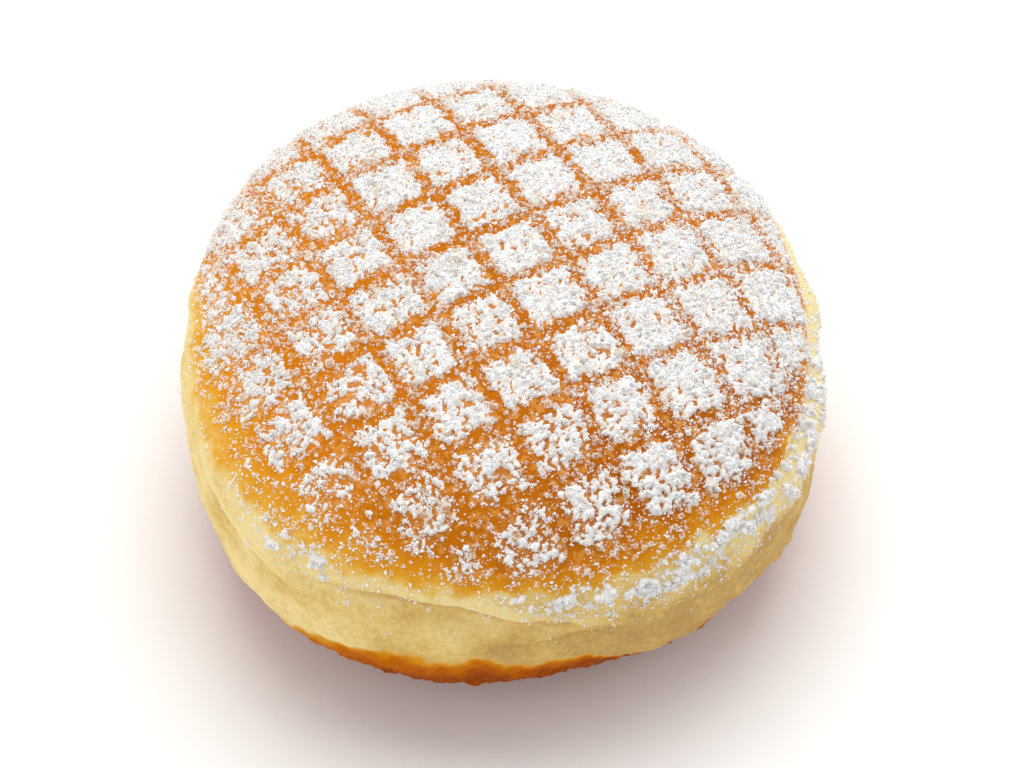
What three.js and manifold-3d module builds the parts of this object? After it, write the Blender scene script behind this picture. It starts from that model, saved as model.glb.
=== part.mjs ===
// A round doughnut with no hole. A fried crust domes over the top, a pale collar of dough runs round the
// waist between the two fried faces, and the underside rounds down to a small flat foot.
// Fine sugar, sifted through a square wire grid, lies on the dome as low raised squares.
// Millimetres, +Z up. The foot stands on z = 0, on the doughnut's own axis.

import * as THREE from "three";
import { mergeVertices } from "three/addons/utils/BufferGeometryUtils.js";
import Module from "manifold-3d";

// Driving sizes of the dough
const RADIUS = 45;
const WAIST_HEIGHT = 24.7;
const CROWN_RISE = 20.8;
const CROWN_FULLNESS = 2.53;
const UNDERSIDE_DEPTH = 25.2;
const UNDERSIDE_FULLNESS = 3.18;

// The outline seen from above is not a true circle: each entry is a number of lobes round it,
// how far they stand out as a share of the radius, and the azimuth of the first one in degrees
const LOBES = [
  { count: 2, share: 0.022, azimuth: -77 },
  { count: 3, share: 0.014, azimuth: -10 },
  { count: 4, share: 0.0095, azimuth: 45 },
];

// Folds pressed into the collar, then broad dents: the azimuth of the middle and the reach to either side
// in degrees, the height at the middle, how much it climbs and bows towards its ends, the depth and the width
const FOLDS = [
  { azimuth: -96, reach: 33, height: 29.4, climb: -4.2, bow: -6, depth: 1.1, width: 1.5 },
  { azimuth: -141, reach: 21, height: 25.6, climb: -3.5, bow: 3.5, depth: 0.7, width: 1.5 },
  { azimuth: -4, reach: 42, height: 34, climb: 0.8, bow: -1.2, depth: 1.2, width: 1.5 },
  { azimuth: 76, reach: 34, height: 30.5, climb: 3, bow: 1.5, depth: 0.8, width: 1.5 },
  { azimuth: 142, reach: 30, height: 28, climb: -3, bow: -1.5, depth: 0.8, width: 1.5 },
  { azimuth: -74, reach: 26, height: 9, climb: 0, bow: 0, depth: 1.4, width: 7 },
  { azimuth: -43, reach: 13, height: 12, climb: 0, bow: 0, depth: 0.9, width: 6 },
  { azimuth: -3, reach: 9, height: 27.5, climb: 0, bow: 0, depth: 1.1, width: 4 },
];

// Driving sizes of the sifted sugar
const GRID_PITCH = 9.45;
const GRID_TURN = 27.6;
const GRID_MIDDLE = new THREE.Vector2(2.35, 2.64);
const SQUARE_SIDE = 7.2;
const SUGAR_RISE = 0.7;
const SUGAR_ROOT = 1.2;
const SUGAR_RAGGED = 0.35;
const SUGAR_EDGE = 37.5;
const SUGAR_LIMIT = 40.5;
const SEED = 447;

// How finely the dough is faceted: steps round it, and steps up each band of its profile above the foot,
// which end at these elevations in degrees seen from the middle of the waist
const STEPS_ROUND = 80;
const BANDS = [
  { end: -12, steps: 11 },
  { end: 16, steps: 16 },
  { end: 90, steps: 10 },
];
const SQUARE_CUTS = 2;

const CRUST_COLOUR = 0xd9902f;

const radians = THREE.MathUtils.degToRad;

const wasm = await Module();
wasm.setup();

// A closed geometry with every shared corner stored once
function welded(geometry) {
  geometry.deleteAttribute("normal");
  geometry.deleteAttribute("uv");
  return mergeVertices(geometry);
}

function solidOf(geometry) {
  const vertProperties = geometry.attributes.position.array;
  const triVerts = Uint32Array.from(geometry.index.array);
  return new wasm.Manifold(new wasm.Mesh({ numProp: 3, vertProperties, triVerts }));
}

function geometryOf(solid) {
  const { vertProperties, triVerts } = solid.getMesh();
  const geometry = new THREE.BufferGeometry();
  geometry.setAttribute("position", new THREE.BufferAttribute(vertProperties, 3));
  geometry.setIndex(new THREE.BufferAttribute(triVerts, 1));
  geometry.computeVertexNormals();
  return geometry;
}

// Moves every corner of a geometry to the place that a function gives for it
function reshape(geometry, place) {
  const corners = geometry.attributes.position;
  const corner = new THREE.Vector3();
  for (let i = 0; i < corners.count; i += 1) {
    corner.fromBufferAttribute(corners, i);
    place(corner);
    corners.setXYZ(i, corner.x, corner.y, corner.z);
  }
  return geometry;
}

// The share of the mean radius that the outline has at an azimuth
function outline(azimuth) {
  return LOBES.reduce(
    (share, lobe) => share + lobe.share * Math.cos(lobe.count * (azimuth - radians(lobe.azimuth))),
    1,
  );
}

// A superellipse seen from the middle of the waist: full at the crown, fuller still at the underside
function profilePoint(elevation) {
  const below = elevation < 0;
  const rise = below ? UNDERSIDE_DEPTH : CROWN_RISE;
  const fullness = below ? UNDERSIDE_FULLNESS : CROWN_FULLNESS;
  const out = Math.cos(elevation);
  const up = Math.sin(elevation);
  const sum = (out / RADIUS) ** fullness + (Math.abs(up) / rise) ** fullness;
  const reach = sum ** (-1 / fullness);
  return new THREE.Vector2(reach * out, WAIST_HEIGHT + reach * up);
}

// From the axis out to the edge of the flat foot, then up the side to the crown
function profile() {
  const points = [new THREE.Vector2(0, 0)];
  const left = 1 - (WAIST_HEIGHT / UNDERSIDE_DEPTH) ** UNDERSIDE_FULLNESS;
  const footRadius = RADIUS * left ** (1 / UNDERSIDE_FULLNESS);
  let start = -THREE.MathUtils.radToDeg(Math.atan2(WAIST_HEIGHT, footRadius));
  for (const { end, steps } of BANDS) {
    for (let step = 0; step < steps; step += 1) {
      points.push(profilePoint(radians(THREE.MathUtils.lerp(start, end, step / steps))));
    }
    start = end;
  }
  points[1].y = 0;
  points.push(new THREE.Vector2(0, WAIST_HEIGHT + CROWN_RISE));
  return points;
}

// How deep the folds are pressed in at a place on the collar
function foldDepth(azimuth, height) {
  return FOLDS.reduce((depth, fold) => {
    const turn = azimuth - radians(fold.azimuth);
    const nearest = THREE.MathUtils.euclideanModulo(turn + Math.PI, 2 * Math.PI) - Math.PI;
    const along = nearest / radians(fold.reach);
    if (Math.abs(along) >= 1) return depth;
    const line = fold.height + fold.climb * along + fold.bow * along * along;
    const off = (height - line) / fold.width;
    return depth + fold.depth * Math.cos((along * Math.PI) / 2) ** 2 * Math.exp(-off * off);
  }, 0);
}

function dough() {
  const body = new THREE.LatheGeometry(profile(), STEPS_ROUND).rotateX(Math.PI / 2);
  return reshape(welded(body), (corner) => {
    const radius = Math.hypot(corner.x, corner.y);
    if (radius === 0) return;
    const azimuth = Math.atan2(corner.y, corner.x);
    const scale = outline(azimuth) - foldDepth(azimuth, corner.z) / radius;
    corner.x *= scale;
    corner.y *= scale;
  });
}

// The height of the dome over a place in plan
function domeHeight(x, y) {
  const share = Math.hypot(x, y) / (RADIUS * outline(Math.atan2(y, x)));
  return WAIST_HEIGHT + CROWN_RISE * (1 - share ** CROWN_FULLNESS) ** (1 / CROWN_FULLNESS);
}

// Draws a place in plan in towards the axis, more and more as it nears the limit of the sugar
function heldIn(corner) {
  const radius = Math.hypot(corner.x, corner.y);
  if (radius <= SUGAR_EDGE) return;
  const spare = SUGAR_LIMIT - SUGAR_EDGE;
  const held = SUGAR_EDGE + spare * Math.tanh((radius - SUGAR_EDGE) / spare);
  corner.x *= held / radius;
  corner.y *= held / radius;
}

function sugarSquare(middle) {
  const box = new THREE.BoxGeometry(SQUARE_SIDE, SQUARE_SIDE, 1, SQUARE_CUTS, SQUARE_CUTS, 1);
  const random = () => THREE.MathUtils.seededRandom() - 0.5;
  const origin = new THREE.Vector2();
  return reshape(welded(box), (corner) => {
    const place = new THREE.Vector2(corner.x, corner.y);
    place.x += SUGAR_RAGGED * 2 * random();
    place.y += SUGAR_RAGGED * 2 * random();
    place.rotateAround(origin, radians(GRID_TURN)).add(middle);
    heldIn(place);
    const lift = corner.z > 0 ? SUGAR_RISE * (1 + random()) : -SUGAR_ROOT;
    corner.set(place.x, place.y, domeHeight(place.x, place.y) + lift);
  });
}

// The middles of the squares that land on the dome
function sugarMiddles() {
  const middles = [];
  const most = Math.ceil((2 * RADIUS) / GRID_PITCH);
  for (let row = -most; row <= most; row += 1) {
    for (let column = -most; column <= most; column += 1) {
      const middle = new THREE.Vector2(column, row).multiplyScalar(GRID_PITCH);
      middle.rotateAround(new THREE.Vector2(), radians(GRID_TURN)).add(GRID_MIDDLE);
      if (middle.length() < SUGAR_EDGE) middles.push(middle);
    }
  }
  return middles;
}

function doughnut() {
  THREE.MathUtils.seededRandom(SEED);
  const solid = sugarMiddles().reduce(
    (whole, middle) => whole.add(solidOf(sugarSquare(middle))),
    solidOf(dough()),
  );
  const crust = new THREE.MeshStandardMaterial({ color: CRUST_COLOUR, roughness: 0.6, metalness: 0 });
  const mesh = new THREE.Mesh(geometryOf(solid), crust);
  mesh.name = "doughnut";
  return mesh;
}

const part = new THREE.Group();
part.name = "sugared_doughnut";
part.add(doughnut());

export default part;
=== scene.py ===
# %% [markdown]
# # A sugared doughnut, worked out as surfaces
#
# This lesson dresses one round doughnut without a hole. Three things are seen on the real one: fried dough
# that goes from deep orange on the dome to cream at its collar, fine sugar sifted over it through a wire
# grid, and coarse clear crystals that stuck to the crust. Each is a surface worked out with numpy as whole
# arrays, and each step below says what it is, how it could be made, and why it is made this way.
#
# The imported solid is opened first, as a fixed frame. Shapes are worked out in millimetres, and become
# metres when a mesh is made.

import bmesh
import bpy
import numpy as np
from mathutils import Matrix, Vector


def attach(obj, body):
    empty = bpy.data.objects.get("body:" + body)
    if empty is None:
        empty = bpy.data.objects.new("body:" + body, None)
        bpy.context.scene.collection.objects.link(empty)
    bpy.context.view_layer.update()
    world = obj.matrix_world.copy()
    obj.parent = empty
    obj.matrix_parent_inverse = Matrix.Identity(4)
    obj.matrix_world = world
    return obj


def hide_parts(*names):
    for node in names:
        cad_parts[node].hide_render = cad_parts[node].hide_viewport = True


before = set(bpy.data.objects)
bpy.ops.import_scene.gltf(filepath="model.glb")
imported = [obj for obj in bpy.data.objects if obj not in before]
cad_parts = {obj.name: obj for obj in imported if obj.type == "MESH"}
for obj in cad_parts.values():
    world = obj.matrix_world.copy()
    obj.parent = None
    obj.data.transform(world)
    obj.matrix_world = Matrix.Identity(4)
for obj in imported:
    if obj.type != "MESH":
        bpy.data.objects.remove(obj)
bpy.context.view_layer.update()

MM = 0.001

# %% [markdown]
# ## Three small tools for uneven things
#
# Food is never even. Blender's texture nodes could supply the unevenness, but only inside a material, and
# here it also has to move points and decide where sugar lies. So three plain functions do it: a smooth step,
# a bell, and a ripple made of many plane waves that run in all directions.

# %% A smooth step, a bell and a ripple
def ease(low, high, value):
    """0 before low, 1 after high, and between them three times the square of the way less twice its cube."""
    way = np.clip((value - low) / (high - low), 0.0, 1.0)
    return way * way * (3.0 - 2.0 * way)


def hump(middle, width, value):
    """A bell: e to the minus square of the distance from the middle, counted in widths."""
    return np.exp(-(((value - middle) / width) ** 2))


def ripple(places, wavelength, seed, waves=36):
    """The sum of plane waves of about one wavelength, each with its own way and phase, at unit spread."""
    draw = np.random.default_rng(seed)
    ways = draw.normal(size=(waves, 3))
    ways *= 2.0 * np.pi / wavelength / np.linalg.norm(ways, axis=1, keepdims=True)
    ways *= draw.uniform(0.7, 1.45, size=(waves, 1))
    phases = draw.uniform(0.0, 2.0 * np.pi, waves)
    return np.cos(places @ ways.T + phases).sum(axis=1) * np.sqrt(2.0 / waves)


print("ease at a quarter of the way:", ease(0.0, 1.0, 0.25))

# %% [markdown]
# ## The body of dough
#
# A ball of dough proves, sinks a little under its own weight and floats in hot fat, first one face down and
# then the other. It could be sculpted, or cast as a squashed sphere. A superellipse seen from the middle of
# the waist says it better: one number sets how full the crown is and another how full the underside is, and
# both halves meet at the widest level. The outline seen from above is a circle with two, three and four low
# lobes. What would fall below the table is pressed flat on it, and that is the foot.

# %% Driving sizes of the dough, in mm and degrees
RADIUS = 45.0
WAIST_HEIGHT = 24.7
CROWN_RISE = 20.8
CROWN_FULLNESS = 2.53
UNDERSIDE_DEPTH = 25.2
UNDERSIDE_FULLNESS = 3.18
LOBES = ((2, 0.022, -77.0), (3, 0.014, -10.0), (4, 0.0095, 45.0))


def outline(azimuth):
    """One, plus for each lobe its share times the cosine of its count times the turn from its first peak."""
    counts, shares, peaks = np.array(LOBES).T
    turns = azimuth[:, None] - np.radians(peaks)
    return 1.0 + (shares * np.cos(counts * turns)).sum(axis=1)


def profile(elevation):
    """Reach from the axis and height: a superellipse in polar form about the waist, cut flat at the table."""
    below = elevation < 0.0
    rise = np.where(below, UNDERSIDE_DEPTH, CROWN_RISE)
    fullness = np.where(below, UNDERSIDE_FULLNESS, CROWN_FULLNESS)
    out, up = np.abs(np.cos(elevation)), np.sin(elevation)
    radius = ((out / RADIUS) ** fullness + (np.abs(up) / rise) ** fullness) ** (-1.0 / fullness)
    return radius * out, np.maximum(WAIST_HEIGHT + radius * up, 0.0)


print("height over the table, mm:", WAIST_HEIGHT + CROWN_RISE)

# %% [markdown]
# ## Folds, puffs and skin
#
# Where the two fried faces meet, the collar stays pale and soft, and it creases: a long fold runs across the
# front, another lies to the left, and on the right the collar stands out from under the dome with a groove
# between. Each fold is a groove whose line is a parabola over the azimuth, and the last four are broad
# dents. The finer unevenness is ripples: slow ones puff the collar, short ones make the skin of the crust,
# and the rim of the underside is craggy. All of it could be sculpted, but numbers can be moved and compared.

# %% Folds of the collar
FOLDS = np.array([
    # azimuth, reach to either side, height, climb, bow, depth, width of the lip, width of the hollow
    (-96.0, 33.0, 29.4, -4.2, -6.0, 1.1, 0.50, 2.2),
    (-80.0, 13.0, 23.2, 0.0, 0.0, 0.35, 0.45, 1.5),
    (-141.0, 21.0, 25.6, -3.5, 3.5, 0.7, 0.55, 2.0),
    (-4.0, 42.0, 34.0, 0.8, -1.2, 1.2, 0.55, 2.0),
    (76.0, 34.0, 30.5, 3.0, 1.5, 0.8, 0.55, 2.0),
    (142.0, 30.0, 28.0, -3.0, -1.5, 0.8, 0.55, 2.0),
    (-74.0, 26.0, 9.0, 0.0, 0.0, 1.4, 6.0, 8.0),
    (-43.0, 13.0, 12.0, 0.0, 0.0, 0.9, 6.0, 6.0),
    (-5.0, 12.0, 27.5, 0.0, 0.0, 1.5, 4.0, 6.0),
    (-17.0, 9.0, 20.5, 0.0, 0.0, 0.7, 4.0, 5.0),
])
SHARP_LIP = 1.0


def around(azimuth, middle):
    """The turn from a middle in degrees to an azimuth in radians, in degrees from -180 to 180."""
    return (np.degrees(azimuth) - middle + 180.0) % 360.0 - 180.0


def facing(azimuth, middle, width):
    """A bell of the turn from a middle, with its width in degrees."""
    return hump(0.0, width, around(azimuth, middle))


def sector(azimuth, middle, near, far):
    """1 within the near turn of a middle, 0 beyond the far turn, and a smooth step between, in degrees."""
    return ease(far, near, np.abs(around(azimuth, middle)))


def fold_shapes(azimuth, height):
    """For each fold, its depth where it fades as a cosine squared to its ends, and the height over its line,
    which is a parabola along the fold."""
    middle, reach, level, climb, bow, depth = FOLDS[:, :6].T
    along = np.clip(around(azimuth[:, None], middle) / reach, -1.0, 1.0)
    line = level + climb * along + bow * along**2
    return depth * np.cos(along * np.pi / 2.0) ** 2, height[:, None] - line


def fold_depth(azimuth, height):
    """For each fold a bell to either side of its line, steep under the lip above and gentle in the hollow
    below, all added up."""
    depth, over = fold_shapes(azimuth, height)
    lip, hollow = FOLDS[:, 6:].T
    return (depth * hump(0.0, np.where(over > 0.0, lip, hollow), over)).sum(axis=1)


print("deepest fold, mm:", FOLDS[:, 5].max())

# %% Edges of the two fried faces
DOME_EDGE_HEIGHT = 35.4
BASE_EDGE_HEIGHT = 11.6
FRONT = np.radians([-90.0])


def dome_edge(azimuth):
    """The height where the crust gives way to the collar: lower at the front, at the fold on the right, and
    all along the back."""
    front = 3.0 * facing(azimuth, -80.0, 38.0) + 1.9 * facing(azimuth, -34.0, 24.0)
    right = 1.2 * facing(azimuth, 2.0, 26.0)
    back = 3.4 * sector(azimuth, 96.0, 66.0, 82.0)
    return DOME_EDGE_HEIGHT + 0.6 * np.cos(azimuth) - front - right - back


def base_edge(azimuth):
    """The height where the browned underside begins: highest at the front, with one torn flake there."""
    front = 7.0 * facing(azimuth, -105.0, 22.0) + 1.0 * facing(azimuth, -48.0, 14.0)
    flake = 3.0 * facing(azimuth, -94.0, 3.2) + 4.8 * facing(azimuth, -79.0, 11.0)
    return BASE_EDGE_HEIGHT + front + flake


print("pale collar at the front, mm:", base_edge(FRONT).round(1), "to", dome_edge(FRONT).round(1))

# %% The whole surface of the dough
def skin_lift(places, azimuth, height):
    """Puffs on the collar, a fine skin all over, crags round the underside's rim and torn bits at the right
    of it, all fading to the foot."""
    collar = ease(0.0, -4.0, height - dome_edge(azimuth)) * ease(-3.0, 3.0, height - base_edge(azimuth))
    under = ease(2.0, -3.0, height - base_edge(azimuth))
    lift = collar * (0.22 * ripple(places, 10.0, 11) + 0.07 * ripple(places, 3.5, 12))
    lift += 0.025 * ripple(places, 1.6, 13) + 0.03 * ripple(places, 5.0, 14)
    lift += under * (0.16 * ripple(places, 4.0, 15) + 0.10 * ripple(places, 1.8, 16))
    torn = facing(azimuth, -42.0, 26.0) * hump(15.0, 6.0, height)
    lift += torn * 0.25 * np.maximum(ripple(places, 5.0, 17) + 0.5 * ripple(places, 2.2, 18), 0.0)
    return lift * ease(0.3, 4.0, height)


def dough_point(azimuth, elevation):
    """The profile times the outline, less the folds, lifted by the skin along the ray from the waist."""
    reach, height = profile(elevation)
    reach = reach * outline(azimuth) - fold_depth(azimuth, height)
    across, up = np.cos(elevation), np.sin(elevation)
    side = np.stack([np.cos(azimuth), np.sin(azimuth)], axis=1)
    plain = np.column_stack([reach[:, None] * side, height])
    ray = np.column_stack([across[:, None] * side, up])
    return plain + ray * skin_lift(plain, azimuth, height)[:, None]


def dough_normal(azimuth, elevation, step=0.006):
    """The cross product of a short step round the dough and a short step up it, made a unit long."""
    round_it = dough_point(azimuth + step, elevation) - dough_point(azimuth - step, elevation)
    up_it = dough_point(azimuth, elevation + step) - dough_point(azimuth, elevation - step)
    normal = np.cross(round_it, up_it)
    length = np.linalg.norm(normal, axis=1, keepdims=True)
    return np.where(length > 1e-9, normal / np.maximum(length, 1e-9), (0.0, 0.0, 1.0))


print("waist at the front, mm:", dough_point(FRONT, np.zeros(1)).round(1))

# %% [markdown]
# ## From arrays to a mesh
#
# Every piece below ends as arrays of corners and faces. foreach_set copies such arrays into a mesh in one go,
# which is far quicker than adding points one by one. Each mesh also gets a map, so that its finish can be
# drawn
# on a flat picture, and may get marks: one number for each corner, or for
# each face, that a finish can read.

# %% Make a piece
def make_piece(name, corners, faces, finish, flat_map, marks=None, smooth=True):
    """A mesh object at the origin from corners in mm, index arrays of faces, and a map with a place for each
    corner of each face. It rides on the one body and carries its finish."""
    mesh = bpy.data.meshes.new(name)
    mesh.vertices.add(len(corners))
    mesh.vertices.foreach_set("co", (corners * MM).astype(np.float32).ravel())
    around_faces = np.concatenate([group.ravel() for group in faces]).astype(np.int32)
    counts = np.concatenate([np.full(len(group), group.shape[1]) for group in faces])
    mesh.loops.add(len(around_faces))
    mesh.loops.foreach_set("vertex_index", around_faces)
    mesh.polygons.add(len(counts))
    mesh.polygons.foreach_set("loop_start", (np.cumsum(counts) - counts).astype(np.int32))
    mesh.polygons.foreach_set("use_smooth", np.full(len(counts), smooth))
    mesh.uv_layers.new(name="OFBake").uv.foreach_set("vector", flat_map.astype(np.float32).ravel())
    for mark, values in (marks or {}).items():
        owner = "POINT" if len(values) == len(corners) else "FACE"
        layer = mesh.attributes.new(mark, "FLOAT", owner)
        layer.data.foreach_set("value", values.astype(np.float32))
    mesh.update(calc_edges=True)
    mesh.materials.append(finish)
    piece = bpy.data.objects.new(name, mesh)
    bpy.context.scene.collection.objects.link(piece)
    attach(piece, "root")
    triangles = int((counts - 2).sum())
    print(f"{name}: {len(corners)} corners, {triangles} triangles, mended {mesh.validate()}")
    return piece


# %% [markdown]
# ## Finishes as node trees
#
# A finish is a Principled shader with a few nodes before it. Wiring nodes by hand in code is wordy, so one
# helper adds a node, sets its sockets and links what is passed as another node's output. The others below
# are short names for the kinds of node that come up again and again.

# %% Start a finish and add its nodes
def new_finish(name):
    """An empty node material, with its Principled shader already wired to the output."""
    finish = bpy.data.materials.new(name)
    finish.use_nodes = True
    tree = finish.node_tree
    tree.nodes.clear()
    shader = tree.nodes.new("ShaderNodeBsdfPrincipled")
    output = tree.nodes.new("ShaderNodeOutputMaterial")
    tree.links.new(shader.outputs["BSDF"], output.inputs["Surface"])
    return finish, tree, shader


def add_node(tree, kind, sockets=None, **settings):
    """A node of a kind, with settings on the node, and values or links on its inputs by name or number."""
    node = tree.nodes.new(kind)
    for key, value in settings.items():
        setattr(node, key, value)
    for key, value in (sockets or {}).items():
        if isinstance(value, bpy.types.NodeSocket):
            tree.links.new(value, node.inputs[key])
        else:
            node.inputs[key].default_value = value
    return node


def object_place(tree):
    """The place on the piece, in metres."""
    return add_node(tree, "ShaderNodeTexCoord").outputs["Object"]


def mark_of(tree, name):
    """The number that the mesh carries there under a name."""
    return add_node(tree, "ShaderNodeAttribute", attribute_name=name).outputs["Fac"]


print("a finish starts from:", bpy.types.ShaderNodeBsdfPrincipled.bl_rna.name)

# %% Numbers in a finish
def plus(tree, first, second):
    """The sum of two values or links."""
    return add_node(tree, "ShaderNodeMath", {0: first, 1: second}, operation="ADD").outputs["Value"]


def times(tree, first, second):
    """The product of two values or links."""
    return add_node(tree, "ShaderNodeMath", {0: first, 1: second}, operation="MULTIPLY").outputs["Value"]


def ease_node(tree, value, low, high):
    """The same smooth step as above, as a node: 0 before low and 1 after high."""
    sockets = {"Value": value, "From Min": low, "From Max": high}
    return add_node(tree, "ShaderNodeMapRange", sockets, interpolation_type="SMOOTHSTEP").outputs["Result"]


def noise(tree, place, size_mm, detail=3.0, roughness=0.55):
    """Soft noise with blobs of about a size in mm, read at a place in metres."""
    sockets = {"Vector": place, "Scale": 1.0 / (size_mm * MM), "Detail": detail, "Roughness": roughness}
    return add_node(tree, "ShaderNodeTexNoise", sockets).outputs["Fac"]


def swing(tree, value, spread):
    """Noise moved down by a half, to lie about 0, times a spread."""
    return times(tree, plus(tree, value, -0.5), spread)


print("blobs of 0.8 mm need a noise scale of", 1.0 / (0.8 * MM))

# %% Colours and bumps in a finish
def linear(red, green, blue):
    """A colour as seen on a screen, 0 to 255, as the light it stands for."""
    seen = np.array([red, green, blue]) / 255.0
    light = np.where(seen <= 0.04045, seen / 12.92, ((seen + 0.055) / 1.055) ** 2.4)
    return (*light.tolist(), 1.0)


def colour_ramp(tree, value, stops):
    """A ramp through colours, given as pairs of a place from 0 to 1 and a screen colour."""
    node = add_node(tree, "ShaderNodeValToRGB", {"Fac": value})
    ramp = node.color_ramp
    for place, colour in stops[1:-1]:
        ramp.elements.new(place).color = linear(*colour)
    for index in (0, -1):
        place, colour = stops[index]
        ramp.elements[index].position = place
        ramp.elements[index].color = linear(*colour)
    return node.outputs["Color"]


def mix(tree, share, first, second):
    """One colour or the other, or a mixture by a share from 0 to 1."""
    return add_node(tree, "ShaderNodeMix", {0: share, 6: first, 7: second}, data_type="RGBA").outputs[2]


def add_bump(tree, shader, height, strength, distance):
    """Tilts the shader's normal as a relief of a height would, without moving the mesh."""
    sockets = {"Height": height, "Strength": strength, "Distance": distance}
    bump = add_node(tree, "ShaderNodeBump", sockets)
    tree.links.new(bump.outputs["Normal"], shader.inputs["Normal"])


print("a middle grey on the screen, as light:", round(linear(128, 128, 128)[0], 3))

# %% [markdown]
# ## The fried crust
#
# Frying browns what the fat touches. The dome is deep orange, its rim turns gold and then pale yellow, the
# collar never touched the fat for long and stays cream, and the underside is browner than the dome. Painting
# that by hand would need an image. Here each corner of the dough carries five marks instead: how fried the
# dome is there, with painted shade added towards the front right; how fried the underside is; how pale the
# collar is, with painted shade at the front and low at the front right and painted light on the belt at the
# right; the painted shade along the creases; and how much sugar lies on it. Three ramps turn the first three
# into colour, and the other two tint it. Noise breaks the ramps up, so that the rim isn't a ruled line.

# %% Colours of the dough
def dome_colour(tree, fried_and_shade, mottle, crumb):
    """A ramp from pale gold to deep orange, lightened in small specks where it is well browned and the noise
    is high: these are partly sugar dust and partly a painted sheen."""
    orange = colour_ramp(tree, fried_and_shade, (
        (0.05, (240, 204, 124)),
        (0.15, (237, 188, 86)),
        (0.30, (231, 164, 44)),
        (0.55, (219, 140, 18)),
        (0.80, (206, 121, 8)),
        (1.00, (174, 90, 5)),
    ))
    cloud = plus(tree, times(tree, mottle, 0.6), times(tree, crumb, 0.4))
    # The lighter specks are partly sugar dust and partly a painted sheen.
    dust_and_sheen_flecks = times(tree, ease_node(tree, cloud, 0.47, 0.62), ease_node(tree, fried_and_shade, 0.4, 0.8))
    return mix(tree, times(tree, dust_and_sheen_flecks, 0.42), orange, linear(244, 178, 88))


def collar_colour(tree, blotch, grainy):
    """A ramp from light brown to cream, by the blotches plus the grain plus half of how pale it is marked."""
    cloudy = plus(tree, times(tree, blotch, 0.55), grainy)
    # The pale mark also holds painted shade at the front and low at the front right, and painted light on the
    # belt at the right.
    pale = times(tree, mark_of(tree, "pale"), 0.5)
    return colour_ramp(tree, plus(tree, cloudy, pale), (
        (0.34, (193, 152, 90)),
        (0.50, (203, 165, 98)),
        (0.60, (221, 184, 106)),
        (0.68, (232, 199, 122)),
        (0.84, (247, 224, 158)),
    ))


def underside_colour(tree, scorched, crumb):
    """A ramp from gold at the edge to brown, with some lighter crumbs."""
    brown = colour_ramp(tree, scorched, (
        (0.05, (234, 194, 108)),
        (0.22, (224, 152, 24)),
        (0.45, (204, 114, 0)),
        (0.75, (182, 86, 0)),
        (1.00, (152, 67, 0)),
    ))
    crumbs = times(tree, ease_node(tree, crumb, 0.46, 0.66), 0.35)
    return mix(tree, crumbs, brown, linear(206, 122, 10))


print("the deepest orange, as light:", np.round(linear(174, 90, 5)[:3], 3))

# %% Finish of the dough
def dough_finish():
    """The dome's colour over the collar's and the underside's over both, each by its mark plus noise, then
    darkened along the creases as painted shade, and tinted in the pores and under the sugar."""
    finish, tree, shader = new_finish("fried_dough")
    place = object_place(tree)
    blotch = noise(tree, place, 7.0)
    mottle = noise(tree, place, 1.6)
    crumb = noise(tree, place, 0.8, detail=4.0, roughness=0.6)
    pores = noise(tree, place, 0.45, detail=2.0)
    wander = swing(tree, mottle, 0.30)
    grainy = swing(tree, crumb, 0.35)
    patchy = swing(tree, blotch, 0.5)

    # The dome's mark holds how fried it is and a painted shade towards the front right.
    fried_and_shade = plus(tree, mark_of(tree, "dome_fried_and_shade"), wander)
    collar = collar_colour(tree, blotch, grainy)
    dome = dome_colour(tree, fried_and_shade, mottle, crumb)
    top = mix(tree, ease_node(tree, fried_and_shade, 0.0, 0.24), collar, dome)

    base = mark_of(tree, "base_fried")
    uneven = times(tree, plus(tree, wander, patchy), ease_node(tree, base, 0.0, 0.3))
    scorched = plus(tree, base, uneven)
    underside = underside_colour(tree, scorched, crumb)
    fried_all = mix(tree, ease_node(tree, scorched, 0.0, 0.20), top, underside)

    # Along each sharp fold the colour is darkened towards brown as painted shade.
    crease_shade = times(tree, mark_of(tree, "painted_crease_shade"), 0.75)
    whole = mix(tree, crease_shade, fried_all, linear(190, 124, 40))
    speckled = mix(tree, 0.22, whole, linear(150, 76, 6))
    freckled = mix(tree, ease_node(tree, pores, 0.60, 0.78), whole, speckled)
    film = plus(tree, mark_of(tree, "dusted"), times(tree, grainy, 2.5))
    haze = times(tree, ease_node(tree, film, 0.15, 1.0), 0.10)
    tree.links.new(mix(tree, haze, freckled, linear(246, 228, 186)), shader.inputs["Base Color"])

    shader.inputs["Roughness"].default_value = 0.5
    shader.inputs["Specular IOR Level"].default_value = 0.03
    shader.inputs["Subsurface Weight"].default_value = 0.08
    shader.inputs["Subsurface Radius"].default_value = (1.0, 0.5, 0.15)
    shader.inputs["Subsurface Scale"].default_value = 1.0 * MM
    add_bump(tree, shader, plus(tree, pores, times(tree, crumb, 2.0)), 0.6, 0.16 * MM)
    return finish


DOUGH_FINISH = dough_finish()
print("dough finish:", len(DOUGH_FINISH.node_tree.nodes), "nodes")

# %% [markdown]
# ## Where the sugar lies
#
# The sugar was sifted through a square wire rack, so it lies in squares with bare bars between. It is thick
# on the right, where it also drifted over the bars, thinner to the left, and broken up at the front, where
# the dome falls away. Some slid off the rim and caught on the collar. It could be painted on as a picture,
# but one function does more: it gives the cover, from 0 for none to 1 for full, anywhere on the dough. The
# crust's haze, the sugar's bed and its loose lumps all ask it.

# %% Squares of the grid
GRID_PITCH = 9.45
GRID_TURN = np.radians(27.6)
GRID_MIDDLE = np.array([2.35, 2.64])
GRID_CELLS = 31
SQUARE_SIDE = 7.5
SQUARE_SOFTNESS = 0.038
SQUARE_POWER = 12


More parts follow.
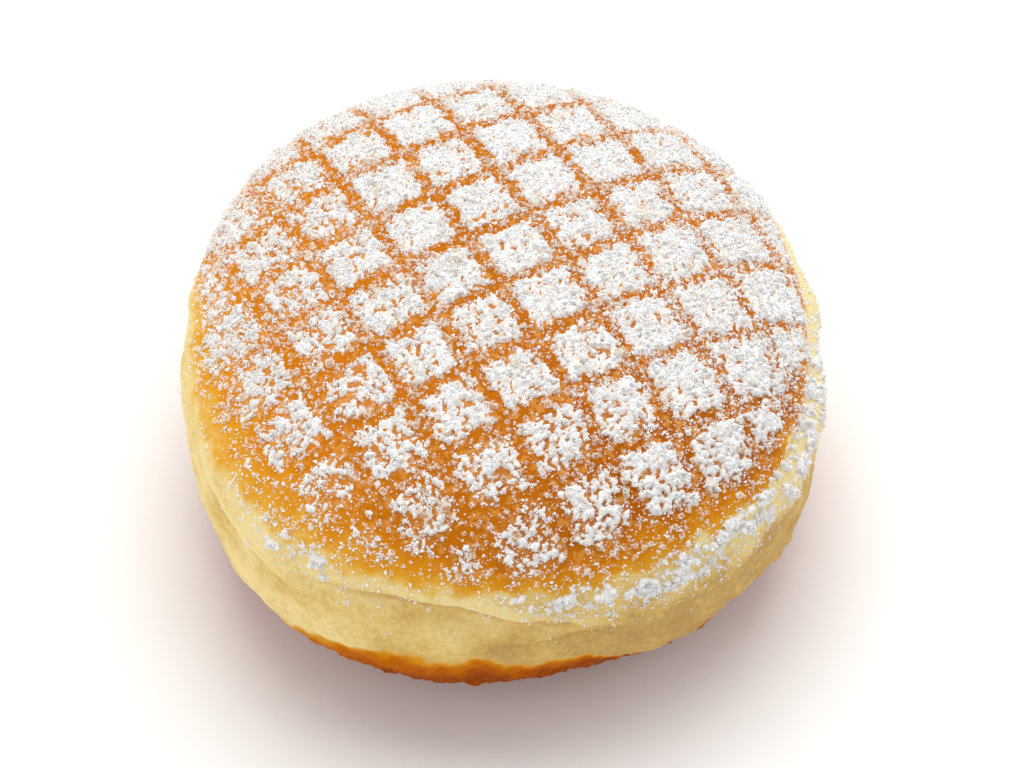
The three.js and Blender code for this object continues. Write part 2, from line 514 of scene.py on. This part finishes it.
def grid_place(x, y):
    """Plan coordinates counted in pitches along the grid's own two ways, with squares at whole numbers."""
    along, across = x - GRID_MIDDLE[0], y - GRID_MIDDLE[1]
    first = np.cos(GRID_TURN) * along + np.sin(GRID_TURN) * across
    second = np.cos(GRID_TURN) * across - np.sin(GRID_TURN) * along
    return first / GRID_PITCH, second / GRID_PITCH


def in_square(places):
    """1 inside a square and 0 on a bar, by the twelfth-power distance from the square's middle, with a
    ragged edge."""
    first, second = grid_place(places[:, 0], places[:, 1])
    off = np.abs(np.stack([first - np.round(first), second - np.round(second)]))
    distance = (off**SQUARE_POWER).sum(axis=0) ** (1.0 / SQUARE_POWER)
    front = ease(-16.0, -36.0, places[:, 1])
    blur = 1.0 + 0.8 * ease(-10.0, -34.0, places[:, 0]) + 0.8 * front
    ragged = blur * (0.016 * ripple(places, 3.2, 31) + 0.018 * ripple(places, 1.2, 32)) + 0.022 * front
    half = SQUARE_SIDE / GRID_PITCH / 2.0
    return ease(half + SQUARE_SOFTNESS, half - SQUARE_SOFTNESS, distance + ragged)


def square_luck(places):
    """A seeded draw for each square, the same all over it, from -1 to 1."""
    first, second = grid_place(places[:, 0], places[:, 1])
    draws = np.random.default_rng(41).uniform(-1.0, 1.0, size=(GRID_CELLS, GRID_CELLS))
    return draws[np.round(first).astype(int) % GRID_CELLS, np.round(second).astype(int) % GRID_CELLS]


crown = np.array([[GRID_MIDDLE[0], GRID_MIDDLE[1], WAIST_HEIGHT + CROWN_RISE]])
print("luck of the middle square:", square_luck(crown).round(2))

# %% The cover of sugar
def dome_cover(places):
    """Squares and bars, each with its own cover: thin to the left, broken at the front, thick at right."""
    x, y = places[:, 0], places[:, 1]
    left = ease(-6.0, -36.0, x)
    front = ease(-19.0, -40.0, y) * (1.0 - 0.45 * ease(4.0, 26.0, x))
    heaped = 0.10 * ease(6.0, 28.0, x) + 0.04 * ease(4.0, 28.0, y)
    square = 0.94 + heaped - 0.30 * left - 0.37 * front + 0.08 * square_luck(places)
    drift = ease(4.0, 28.0, x) * ease(30.0, -4.0, y) * (1.0 - 0.7 * ease(-14.0, -30.0, y))
    bar = 0.03 + 0.42 * drift + 0.10 * ease(-26.0, -40.0, x)
    inside = in_square(places)
    return inside * square + (1.0 - inside) * bar


def collar_cover(places, azimuth):
    """What slid off the rim: a long drift at the front right, small ones at the front and the left, and a
    thin film on the belt at the right."""
    below = places[:, 2] - dome_edge(azimuth)
    right = 1.1 * sector(azimuth, -45.0, 30.0, 46.0) * hump(-2.3, 2.5, below)
    front = 0.7 * facing(azimuth, -86.0, 6.0) * hump(-1.0, 1.1, below)
    left = 1.0 * facing(azimuth, -127.0, 11.0) * hump(-2.6, 2.2, below)
    patchy = ease(-1.3, 0.9, ripple(places, 3.4, 33) + 0.6 * ripple(places, 1.4, 34))
    film = 0.40 * sector(azimuth, -33.0, 30.0, 56.0) * hump(-3.5, 4.0, below)
    slid = np.minimum((right + front + left) * patchy, 0.78)
    return slid + film * ease(0.5, -0.5, below) * (0.5 + 0.5 * patchy)


def sugar_cover(places):
    """The dome's cover above the rim, which stays bare at the front right, and the collar's below it."""
    azimuth = np.arctan2(places[:, 1], places[:, 0])
    bare = 1.7 * sector(azimuth, -52.0, 26.0, 46.0)
    on_dome = ease(-0.6, 2.6, places[:, 2] - dome_edge(azimuth) - bare)
    return np.clip(on_dome * dome_cover(places) + collar_cover(places, azimuth), 0.0, 1.0)


print("cover in the middle square:", sugar_cover(crown).round(2))

# %% [markdown]
# ## The dough as a grid
#
# The surface is a function of azimuth and elevation, so a grid of those two numbers gives all its points at
# once. Equal steps of elevation would crowd at the crown and stretch on the collar, so the rows are spaced
# along the profile instead, closest on the collar. The first and last rows shrink to a point each, and a fan
# of triangles closes them. The map unrolls the grid like a label from a can.

# %% Rows of the grid
ROUND_STEPS = 400
UP_STEPS = 236
FINE_STEPS = 6001


def profile_lengths(crowding=np.ones_like):
    """Elevations in fine steps from below to above, and the length along the profile up to each of them,
    counted longer where the crowding at that height is more."""
    fine = np.linspace(-np.pi / 2.0, np.pi / 2.0, FINE_STEPS)
    reach, height = profile(fine)
    step = np.hypot(np.diff(reach), np.diff(height)) * crowding(height[1:])
    return fine, np.concatenate([[0.0], np.cumsum(step)])


def spaced_elevations(count, crowding=np.ones_like):
    """Elevations from below to above at equal steps of that length."""
    fine, length = profile_lengths(crowding)
    return np.interp(np.linspace(0.0, length[-1], count), length, fine)


def collar_crowding(height):
    """Few rows on the foot and the dome, and many on the collar, where the folds are."""
    return 0.3 + 1.4 * ease(4.0, 9.0, height) - 0.9 * ease(36.0, 40.0, height)


row_heights = profile(spaced_elevations(UP_STEPS + 2, collar_crowding))[1]
print("every fortieth row stands at, mm:", row_heights[::40].round(1))

# %% Faces and map of the grid
def lathe_faces(columns, rows):
    """Quads between neighbouring rings, and fans from the two poles, which are the last two corners."""
    here = np.arange(columns)
    after = (here + 1) % columns
    level = np.arange(rows - 1)[:, None] * columns
    quads = np.stack([level + here, level + after, level + columns + after, level + columns + here], axis=-1)
    low, high = columns * rows, columns * rows + 1
    top = (rows - 1) * columns
    under = np.stack([after, here, np.full(columns, low)], axis=-1)
    over = np.stack([top + here, top + after, np.full(columns, high)], axis=-1)
    return [quads.reshape(-1, 4), under, over]


def lathe_map(columns, rows):
    """For each face's corners in turn: the share of a turn across, and the share of the profile up."""
    left = np.arange(columns) / columns
    right = left + 1.0 / columns
    middle = left + 0.5 / columns
    low = ((np.arange(rows - 1) + 1.0) / (rows + 1.0))[:, None]
    high = low + 1.0 / (rows + 1.0)
    quads = np.stack(np.broadcast_arrays(left, low, right, low, right, high, left, high), axis=-1)
    first, last = 1.0 / (rows + 1.0), rows / (rows + 1.0)
    under = np.stack(np.broadcast_arrays(right, first, left, first, middle, 0.0), axis=-1)
    over = np.stack(np.broadcast_arrays(left, last, right, last, middle, 1.0), axis=-1)
    return np.concatenate([part.reshape(-1, 2) for part in (quads, under, over)])


print("quads of the grid:", len(lathe_faces(ROUND_STEPS, UP_STEPS)[0]))

# %% Marks of the dough
def dome_fried_and_shade(corners, azimuth, uneven):
    """Three smooth steps of the height over the dome's edge, longer where the rim is soft at the left, and
    shorter where it is crisp at the right and the front. The last step grows towards the front right, where
    the deeper orange is painted shade."""
    over = corners[:, 2] - dome_edge(azimuth) + uneven
    soft = facing(azimuth, -150.0, 60.0)
    length = 1.0 - 0.80 * facing(azimuth, -12.0, 44.0) - 0.45 * facing(azimuth, -94.0, 32.0)
    # A deeper orange towards the front right is painted shade.
    painted_shade_dome = ease(-4.0, 24.0, corners[:, 0]) * ease(6.0, -22.0, corners[:, 1])
    deep = 0.13 - 0.10 * ease(0.0, -36.0, corners[:, 0]) + 0.12 * painted_shade_dome
    rim = 0.30 * ease(-(2.2 + 3.0 * soft) * length, 1.2 * length, over)
    slope = 0.5 * ease(-0.5, 4.4 * length + 2.0 * soft, over)
    return rim + slope + deep * ease(3.0 * length, 8.5 * length, over)


def base_fried(corners, azimuth, uneven):
    """Two smooth steps of the depth under the underside's edge, shorter where the front is scorched."""
    under = base_edge(azimuth) - corners[:, 2] + uneven
    scorch = facing(azimuth, -66.0, 26.0)
    edge = 0.55 * ease(0.8 * scorch - 1.2, 2.6 - 1.4 * scorch, under)
    return edge + 0.45 * ease(1.6 - 1.6 * scorch, 9.0 - 7.9 * scorch, under)


def collar_marks(corners, azimuth):
    """How pale the collar is: less low down at the front right and at the front, which is painted shade, more
    on the lips of folds, and more on the belt at right, which is painted light. And the painted shade along
    the creases: a narrow bell along each sharp fold."""
    height = corners[:, 2]
    depth, over_fold = fold_shapes(azimuth, height)
    depth = np.where(FOLDS[:, 6] < SHARP_LIP, depth, 0.0)
    # The lift on the belt at the right is painted light.
    belt = facing(azimuth, 0.0, 36.0) * ease(24.0, 30.0, height)
    # The darkening low down at the front right is painted shade.
    painted_shade_front_right = facing(azimuth, -44.0, 50.0) * ease(31.0, 22.0, height)
    lips = (0.3 * depth * hump(1.5, 0.9, over_fold)).sum(axis=1)
    # The darkening at the front is painted shade too.
    pale = 1.05 - 0.60 * painted_shade_front_right - 0.20 * facing(azimuth, -92.0, 32.0) + lips + 0.9 * belt
    # The second mark is a painted shade along each sharp fold.
    return {"pale": pale, "painted_crease_shade": (depth * hump(-0.1, 0.45, over_fold)).sum(axis=1)}


def dough_marks(corners):
    """All five marks of each corner, with one ripple that makes the edges of both browned faces uneven."""
    azimuth = np.arctan2(corners[:, 1], corners[:, 0])
    uneven = 0.40 * ripple(corners, 7.0, 21) + 0.22 * ripple(corners, 2.6, 22)
    return {
        "dome_fried_and_shade": dome_fried_and_shade(corners, azimuth, uneven),
        **collar_marks(corners, azimuth),
        "base_fried": base_fried(corners, azimuth, uneven),
        "dusted": sugar_cover(corners),
    }


print("marks on the crown:", {mark: values.round(2) for mark, values in dough_marks(crown).items()})

# %% Build the dough
def build_dough():
    """The points of a grid of azimuths and elevations, and of the two poles."""
    rows = spaced_elevations(UP_STEPS + 2, collar_crowding)
    azimuth = np.radians(90.0) + np.arange(ROUND_STEPS) / ROUND_STEPS * 2.0 * np.pi
    elevation_grid, azimuth_grid = np.meshgrid(rows[1:-1], azimuth, indexing="ij")
    azimuths = np.concatenate([azimuth_grid.ravel(), [0.0, 0.0]])
    elevations = np.concatenate([elevation_grid.ravel(), rows[[0, -1]]])
    corners = dough_point(azimuths, elevations)
    corners[-2:, :2] = 0.0
    faces = lathe_faces(ROUND_STEPS, UP_STEPS)
    flat_map = lathe_map(ROUND_STEPS, UP_STEPS)
    marks = dough_marks(corners)
    piece = make_piece("fried_dough", corners, faces, DOUGH_FINISH, flat_map, marks)
    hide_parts("doughnut")


build_dough()

# %% [markdown]
# ## Finish of the powder
#
# Powdered sugar is white because light bounces about between its fine grains, so it is rough, bright, and
# lets a little light through. It looks grey in its hollows and warm where the crust is near. A flat white
# would look like paint: noise dims the powder a little here and there, a mark paints it warmer and darker
# where it is thin, as painted shade and painted light from the crust, and a fine bump makes it dusty.

# %% Finish of the powdered sugar
def powder_finish():
    """White dimmed by noise, mixed by half or less where it is thin with a warm brown that is painted shade
    and painted light from the crust, on a rough shader with some light through it."""
    finish, tree, shader = new_finish("powdered_sugar")
    place = object_place(tree)
    white = colour_ramp(tree, noise(tree, place, 0.9, detail=4.0, roughness=0.65), (
        (0.30, (242, 239, 236)),
        (0.48, (250, 249, 248)),
        (0.70, (254, 254, 254)),
    ))
    # Where the bed is thin, the warm brown is painted shade and painted light from the crust below.
    thin = times(tree, mark_of(tree, "thin"), 0.45)
    tree.links.new(mix(tree, thin, white, linear(226, 180, 136)), shader.inputs["Base Color"])
    shader.inputs["Roughness"].default_value = 0.95
    shader.inputs["Specular IOR Level"].default_value = 0.15
    shader.inputs["Subsurface Weight"].default_value = 0.40
    shader.inputs["Subsurface Radius"].default_value = (1.0, 0.90, 0.82)
    shader.inputs["Subsurface Scale"].default_value = 0.35 * MM
    add_bump(tree, shader, noise(tree, place, 0.35, detail=3.0, roughness=0.7), 0.5, 0.14 * MM)
    return finish


POWDER_FINISH = powder_finish()
print("powder finish:", len(POWDER_FINISH.node_tree.nodes), "nodes")

# %% [markdown]
# ## The bed of powder
#
# Under the loose lumps each square is a caked bed about half a millimetre thick. It could be a displaced
# copy of the dough, but the dough's grid is too coarse for it. So it has a fine square grid of its own, laid
# over the doughnut like a cloth: how far a point of the cloth is from its middle says how far down the
# profile it lies, so the cells stay even from the crown to the collar. The height over the crust is the
# cover plus clumpy ripples: full cover stands above the crust but for its pits, half cover breaks into
# islands, and a bare bar stays below. Only the cells that show are kept, and each island is closed by a
# floor inside the dough and a wall.

# %% Height of the powder bed
BED_THICKNESS = 0.50
BED_LEAST_COVER = 0.70
BED_CEILING = 1.35


def clumps(places):
    """How far the powder stands together at a place: ripples of three sizes, above 0 in a clump and below 0
    in a pit."""
    coarse = 0.36 * ripple(places, 2.6, 51) + 0.50 * ripple(places, 1.25, 52)
    return coarse + 0.48 * ripple(places, 0.75, 53, waves=48)


def bed_height(places):
    """The cover less seven tenths, three times over, plus the clumps, times the thickness and flattened
    towards the top."""
    raw = 3.0 * (sugar_cover(places) - BED_LEAST_COVER) + clumps(places)
    return BED_THICKNESS * np.where(raw > 0.0, BED_CEILING * np.tanh(raw / BED_CEILING), raw)


patch = crown + np.random.default_rng(1).uniform(-3.0, 3.0, size=(500, 3)) * (1.0, 1.0, 0.0)
print("share of the middle square under the bed:", (bed_height(patch) > 0.0).mean().round(2))

# %% Build the powder bed
BED_STEP = 0.33
BED_REACH = 57.0
BED_SHOWS = 0.02
BED_DIP = -0.12
BED_ROOT = -0.40
THIN_BED = 0.26


def wall_quads(quads, lift):
    """Walls from each edge that only one face has, down to the same edge of the floor."""
    starts, ends = quads.ravel(), np.roll(quads, -1, axis=1).ravel()
    keys = np.minimum(starts, ends) * (quads.max() + 1) + np.maximum(starts, ends)
    _, index, count = np.unique(keys, return_index=True, return_counts=True)
    rim = index[count == 1]
    return np.stack([ends[rim], starts[rim], starts[rim] + lift, ends[rim] + lift], axis=-1)


def under_cloth(first, second):
    """The azimuth and elevation under a point of the cloth: its way from the middle is the azimuth, and its
    distance is the length down the profile from the crown."""
    fine, length = profile_lengths()
    return np.arctan2(second, first), np.interp(length[-1] - np.hypot(first, second), length, fine)


def build_bed():
    """A height field over the cloth, kept where it shows and closed below. The map is the cloth itself, with
    the floor and the walls in a small copy beside it."""
    side = np.arange(-BED_REACH, BED_REACH + BED_STEP, BED_STEP)
    first, second = (part.ravel() for part in np.meshgrid(side, side, indexing="ij"))
    azimuth, elevation = under_cloth(first, second)
    crust = dough_point(azimuth, elevation)
    height = np.where(np.hypot(first, second) < BED_REACH, bed_height(crust), -1.0)
    count = len(side)
    cell = (np.arange(count - 1)[:, None] * count + np.arange(count - 1)).ravel()
    quads = np.stack([cell, cell + count, cell + count + 1, cell + 1], axis=-1)
    quads = quads[height[quads].max(axis=1) > BED_SHOWS]
    used, quads = np.unique(quads, return_inverse=True)
    quads = quads.reshape(-1, 4)

    normal = dough_normal(azimuth[used], elevation[used])
    top = crust[used] + normal * np.maximum(height[used], BED_DIP)[:, None]
    floor = crust[used] + normal * BED_ROOT
    corners = np.concatenate([top, floor])
    below = quads[:, ::-1] + len(used)
    walls = wall_quads(quads, len(used))
    faces = [quads, below, walls]
    marks = {"thin": np.concatenate([ease(THIN_BED, 0.0, height[used]), np.ones(len(used))])}

    cloth = np.stack([first, second], axis=1)[used] / (2.0 * BED_REACH) + 0.5
    sheet = np.concatenate([0.8 * cloth, 0.2 * cloth + [0.8, 0.0]])
    mapped = np.concatenate([quads, below, walls % len(used) + len(used)])
    make_piece("powder_bed", corners, faces, POWDER_FINISH, sheet[mapped.ravel()], marks)


build_bed()

# %% [markdown]
# ## Small solids and how to scatter them
#
# On and around the bed lie thousands of loose lumps, grains and crystals. Particles or instances would be
# dropped when the model is exported, so each kind is one joined mesh. A small solid with few faces is worked
# out once, as the hull of a handful of corners. Copying it is then one product of arrays: every copy has its
# own size, stretch, turn and place.

# %% Small solids
def hull_faces(corners):
    """Triangles of the convex hull of a few corners, pointing outwards."""
    shape = bmesh.new()
    for corner in corners:
        shape.verts.new(corner)
    bmesh.ops.convex_hull(shape, input=shape.verts)
    bmesh.ops.triangulate(shape, faces=shape.faces)
    shape.verts.index_update()
    faces = np.array([[corner.index for corner in face.verts] for face in shape.faces])
    shape.free()
    first, second, third = (corners[faces[:, k]] for k in range(3))
    outward = np.einsum("ij,ij->i", np.cross(second - first, third - first), first + second + third)
    return np.where((outward > 0.0)[:, None], faces, faces[:, ::-1])


def crystal_corners(bevel=0.36):
    """A cube with its edges cut off: each of the eight corners is drawn in along two axes, in three ways."""
    signs = np.array([[a, b, c] for a in (-1, 1) for b in (-1, 1) for c in (-1, 1)], float)
    shares = np.full((3, 3), 1.0 - bevel) + bevel * np.eye(3)
    return (signs[:, None, :] * shares).reshape(-1, 3)


LUMP = np.concatenate([np.eye(3), -np.eye(3)])
GRAIN = np.array([[1.0, 1.0, 1.0], [1.0, -1.0, -1.0], [-1.0, 1.0, -1.0], [-1.0, -1.0, 1.0]]) / 3.0**0.5
CRYSTAL = crystal_corners()
for label, solid in (("lump", LUMP), ("grain", GRAIN), ("crystal", CRYSTAL)):
    print(label, len(solid), "corners,", len(hull_faces(solid)), "triangles")

# %% Turn and copy a solid
def turn_matrices(draw, count):
    """Rotations drawn evenly: four normal numbers, made a unit quaternion, written out as a matrix."""
    quaternion = draw.normal(size=(4, count))
    w, x, y, z = quaternion / np.linalg.norm(quaternion, axis=0)
    return np.stack([
        np.stack([1 - 2 * (y * y + z * z), 2 * (x * y - w * z), 2 * (x * z + w * y)], axis=-1),
        np.stack([2 * (x * y + w * z), 1 - 2 * (x * x + z * z), 2 * (y * z - w * x)], axis=-1),
        np.stack([2 * (x * z - w * y), 2 * (y * z + w * x), 1 - 2 * (x * x + y * y)], axis=-1),
    ], axis=1)


def scatter(solid, centres, sizes, draw, stretch, rough):
    """Corners and faces of many copies: solid times stretch, size and roughness, turned, then moved."""
    count = len(centres)
    scale = sizes[:, None] * draw.uniform(1.0 - stretch, 1.0 + stretch, size=(count, 3))
    jitter = 1.0 + rough * draw.uniform(-1.0, 1.0, size=(count, len(solid), 1))
    shaped = solid[None] * scale[:, None] * jitter
    corners = np.einsum("nij,nkj->nki", turn_matrices(draw, count), shaped) + centres[:, None]
    faces = hull_faces(solid)[None] + len(solid) * np.arange(count)[:, None, None]
    return corners.reshape(-1, 3), faces.reshape(-1, 3)


def scatter_map(solid, count):
    """Each copy has its own cell of a square sheet, with the solid laid in it as seen from above."""
    across = int(np.ceil(np.sqrt(count)))
    cell = np.stack([np.arange(count) % across, np.arange(count) // across], axis=-1)
    place = solid[hull_faces(solid)].reshape(-1, 3)[:, :2] / np.abs(solid).max() * 0.4 + 0.5
    return ((cell[:, None] + place[None]) / across).reshape(-1, 2)


print("a turn keeps volumes:", np.linalg.det(turn_matrices(np.random.default_rng(1), 1)).round(6))

# %% Drop copies on the dough
DROP_ROWS = 4001
LOWEST_DROP = 1200
SIZE_LIMITS = (0.5, 2.4)
STAND_LIMITS = (-0.2, 0.5)


def drop_places(draw, tries, cover):
    """Places on the dough: even draws of azimuth and of length along the profile, kept by reach and cover."""
    rows = draw.integers(LOWEST_DROP, DROP_ROWS - 1, tries)
    elevation = spaced_elevations(DROP_ROWS)[rows]
    azimuth = draw.uniform(-np.pi, np.pi, tries)
    keep = draw.uniform(size=tries) * RADIUS < profile(elevation)[0]
    azimuth, elevation = azimuth[keep], elevation[keep]
    places = dough_point(azimuth, elevation)
    keep = draw.uniform(size=len(places)) < cover(places)
    return places[keep], dough_normal(azimuth[keep], elevation[keep])


def sprinkle(solid, cover, seed, tries, most, radius, spread, stretch=0.25, rough=0.3):
    """Corners, faces and map of up to so many copies of a solid, kept where a cover says. A size is the
    radius times a log-normal draw of a spread. Each copy is a little sunk in, or stands up, on what it lies
    on: the bed, or the crust where there is none."""
    draw = np.random.default_rng(seed)
    places, normals = drop_places(draw, tries, cover)
    places, normals = places[:most], normals[:most]
    sizes = radius * np.clip(draw.lognormal(0.0, spread, len(places)), *SIZE_LIMITS)
    rise = np.maximum(bed_height(places), 0.0) + sizes * draw.uniform(*STAND_LIMITS, len(places))
    corners, faces = scatter(solid, places + normals * rise[:, None], sizes, draw, stretch, rough)
    print(len(places), "copies of up to", most)
    return corners, [faces], scatter_map(solid, len(places))


lowest_drop = profile(spaced_elevations(DROP_ROWS)[[LOWEST_DROP]])[1]
print("sugar may lie down to, mm:", lowest_drop.round(1))

# %% [markdown]
# ## Lumps and grains of powder
#
# Damp powder rolls into lumps of up to half a millimetre or so, which give the squares their snowy look and
# their ragged edges. Around them it thins out into grains, and in the pits between them the crust shows.
# A finer bed alone would stay smooth. Lumps are rough octahedra and grains are rough tetrahedra: at this
# size a few faces are enough.

# %% Build the lumps and grains
def lump_cover(places):
    """By the cover, in the clumps and not in the pits."""
    return sugar_cover(places) ** 1.3 * ease(-0.6, 0.6, clumps(places))


def grain_cover(places):
    """By the cover, out of the pits, and strays over the rest of the dome and its rim."""
    x, y = places[:, 0], places[:, 1]
    over_rim = ease(-7.0, 0.0, places[:, 2] - dome_edge(np.arctan2(y, x)))
    stray = 0.045 + 0.035 * ease(-4.0, 24.0, y) - 0.015 * ease(-6.0, -32.0, y)
    stray += 0.045 * ease(0.0, 24.0, x)
    cover = sugar_cover(places)
    loose = 0.62 * cover**0.8 * (1.0 - 0.55 * ease(0.55, 0.85, cover))
    return stray * over_rim + loose * ease(-0.9, -0.1, clumps(places))


LOOSE_POWDER = (
    # piece, solid, cover, seed, tries, most, radius in mm, spread of sizes, smooth
    ("powder_lumps", LUMP, lump_cover, 61, 330000, 24500, 0.15, 0.40, True),
    ("powder_grains", GRAIN, grain_cover, 62, 540000, 49000, 0.15, 0.34, False),
)
for name, solid, cover, seed, tries, most, radius, spread, smooth in LOOSE_POWDER:
    corners, faces, flat_map = sprinkle(solid, cover, seed, tries, most, radius, spread)
    make_piece(name, corners, faces, POWDER_FINISH, flat_map, smooth=smooth)

# %% [markdown]
# ## Granulated crystals
#
# Before the powder, the warm doughnut met granulated sugar, and some grains stuck. They are clear little
# blocks: the crust shows through their flat faces, and their bevelled edges catch the light. Real refraction
# would need many samples for thousands of such small things. So the flat faces are mostly see-through, the
# bevels are mostly white as a painted glint, and a mark on each face says which it is.

# %% Finish of the crystals
FLAT_ALPHA = 0.17
BEVEL_GLINT_ALPHA = 0.60


def crystal_finish():
    """A nearly white, shiny shader whose alpha goes from the flat faces' to the bevels' by their mark, so
    that the whiter bevels are a painted glint.
    """
    finish, tree, shader = new_finish("sugar_crystal")
    cloud = noise(tree, object_place(tree), 0.5, detail=2.0)
    tint = colour_ramp(tree, cloud, ((0.35, (252, 242, 220)), (0.65, (254, 251, 245))))
    tree.links.new(tint, shader.inputs["Base Color"])
    # The bevels' higher alpha makes their white a painted glint.
    sockets = {"Value": mark_of(tree, "bevel"), "To Min": FLAT_ALPHA, "To Max": BEVEL_GLINT_ALPHA}
    alpha = add_node(tree, "ShaderNodeMapRange", sockets).outputs["Result"]
    tree.links.new(alpha, shader.inputs["Alpha"])
    shader.inputs["Roughness"].default_value = 0.18
    shader.inputs["Specular IOR Level"].default_value = 0.6
    return finish


CRYSTAL_FINISH = crystal_finish()
print("crystal finish:", len(CRYSTAL_FINISH.node_tree.nodes), "nodes")

# %% Build the crystals
def bevel_marks(solid):
    """1 for the triangles of a solid that face along no axis, and 0 for those on its six flat sides."""
    first, second, third = (solid[hull_faces(solid)[:, k]] for k in range(3))
    normal = np.cross(second - first, third - first)
    return (np.abs(normal).max(axis=1) < 0.95 * np.linalg.norm(normal, axis=1)).astype(float)


def crystal_cover(places):
    """On the bars of the dome, fewer under the thick powder and to the front, and few on the collar."""
    azimuth = np.arctan2(places[:, 1], places[:, 0])
    sparse = 1.0 - 0.5 * ease(-12.0, -36.0, places[:, 1])
    on_dome = ease(-2.0, 5.0, places[:, 2] - dome_edge(azimuth)) * sparse
    return on_dome * (0.95 - 0.75 * sugar_cover(places)) + 0.02 * ease(24.0, 28.0, places[:, 2])


def build_crystals():
    """Copies of the bevelled block without roughness, with the mark of its faces repeated for each copy."""
    corners, faces, flat_map = sprinkle(
        CRYSTAL, crystal_cover, seed=63, tries=30000, most=4400, radius=0.26, spread=0.30, rough=0.0
    )
    marks = {"bevel": np.tile(bevel_marks(CRYSTAL), len(corners) // len(CRYSTAL))}
    make_piece("sugar_crystals", corners, faces, CRYSTAL_FINISH, flat_map, marks, smooth=False)


build_crystals()

# %% [markdown]
# ## Floor, light and camera
#
# The floor is a pale sheet with a faint mottle. The light is soft and broad: a white surround, one large lamp
# above and a little behind, and weak ones low to the left and higher to the right. A small hard lamp would
# draw black shadows between the grains. The camera looks down at about fifty degrees from the front through
# a long lens, which keeps the doughnut's shape as the eye knows it.

# %% Floor
FLOOR_SIZE = 6.0


def floor_finish():
    """A matt near-white, faintly mottled by noise."""
    finish, tree, shader = new_finish("pale_floor")
    mottle = noise(tree, object_place(tree), 40.0)
    pale = colour_ramp(tree, mottle, ((0.3, (249, 249, 249)), (0.7, (252, 252, 252))))
    tree.links.new(pale, shader.inputs["Base Color"])
    shader.inputs["Roughness"].default_value = 0.9
    shader.inputs["Specular IOR Level"].default_value = 0.1
    return finish


def build_floor():
    """One square face on the table's level, which belongs to the stage and not to the doughnut."""
    half = FLOOR_SIZE / 2.0
    corners = [(-half, -half, 0), (half, -half, 0), (half, half, 0), (-half, half, 0)]
    mesh = bpy.data.meshes.new("floor")
    mesh.from_pydata(corners, [], [(0, 1, 2, 3)])
    mesh.materials.append(floor_finish())
    floor = bpy.data.objects.new("floor", mesh)
    bpy.context.scene.collection.objects.link(floor)


build_floor()
print("side of the floor, m:", FLOOR_SIZE)

# %% Light
SURROUND_STRENGTH = 0.58
WAIST = (0.0, 0.0, WAIST_HEIGHT * MM)
LAMPS = (
    # name, place in m, width in m, power in W
    ("overhead", (0.02, 0.25, 0.75), 0.60, 3.95),
    ("left", (-0.75, -0.35, 0.30), 0.70, 1.5),
    ("right", (0.75, 0.15, 0.50), 0.60, 0.9),
)


def add_lamp(name, place, aim, width, power):
    """A square lamp of a width in metres at a place, turned to shine at a point."""
    light = bpy.data.lights.new(name, "AREA")
    light.size = width
    light.energy = power
    lamp = bpy.data.objects.new(name, light)
    lamp.location = place
    lamp.rotation_euler = (Vector(aim) - Vector(place)).to_track_quat("-Z", "Y").to_euler()
    bpy.context.scene.collection.objects.link(lamp)


def white_surround(strength):
    """Even white light from all round."""
    world = bpy.data.worlds.new("white_surround")
    world.use_nodes = True
    background = world.node_tree.nodes["Background"]
    background.inputs["Color"].default_value = (1.0, 1.0, 1.0, 1.0)
    background.inputs["Strength"].default_value = strength
    bpy.context.scene.world = world


white_surround(SURROUND_STRENGTH)
for name, place, width, power in LAMPS:
    add_lamp(name, place, WAIST, width, power)
bpy.context.scene.view_settings.view_transform = "Standard"

# %% Camera
PICTURE_WIDTH, PICTURE_HEIGHT = 1024, 768
WAIST_PIXEL = (499.65, 362.93)
VIEW_ELEVATION = np.radians(51.28)
VIEW_ROLL = np.radians(-0.884)
VIEW_DISTANCE = 0.420
FOCAL_PIXELS = 3072.2
SENSOR = 36.0


def build_camera():
    """Stands the camera back from the waist along its elevation, rolls it, and shifts the picture so that
    the waist falls on its pixel."""
    out, up = np.cos(VIEW_ELEVATION), np.sin(VIEW_ELEVATION)
    back, level, rise = Vector((0, -out, up)), Vector((1, 0, 0)), Vector((0, up, out))
    right = level * np.cos(VIEW_ROLL) + rise * np.sin(VIEW_ROLL)
    above = rise * np.cos(VIEW_ROLL) - level * np.sin(VIEW_ROLL)
    place = Vector(WAIST) + back * VIEW_DISTANCE
    lens = bpy.data.cameras.new("camera")
    lens.sensor_width = SENSOR
    lens.lens = FOCAL_PIXELS / PICTURE_WIDTH * SENSOR
    lens.shift_x = (PICTURE_WIDTH / 2.0 - WAIST_PIXEL[0]) / PICTURE_WIDTH
    lens.shift_y = (WAIST_PIXEL[1] - PICTURE_HEIGHT / 2.0) / PICTURE_WIDTH
    lens.clip_start = 0.01
    camera = bpy.data.objects.new("camera", lens)
    columns = [right, above, back, place]
    camera.matrix_world = Matrix([[column[row] for column in columns] for row in range(3)] + [[0, 0, 0, 1]])
    bpy.context.scene.collection.objects.link(camera)
    bpy.context.scene.camera = camera
    print("lens, mm:", round(lens.lens, 1))


build_camera()
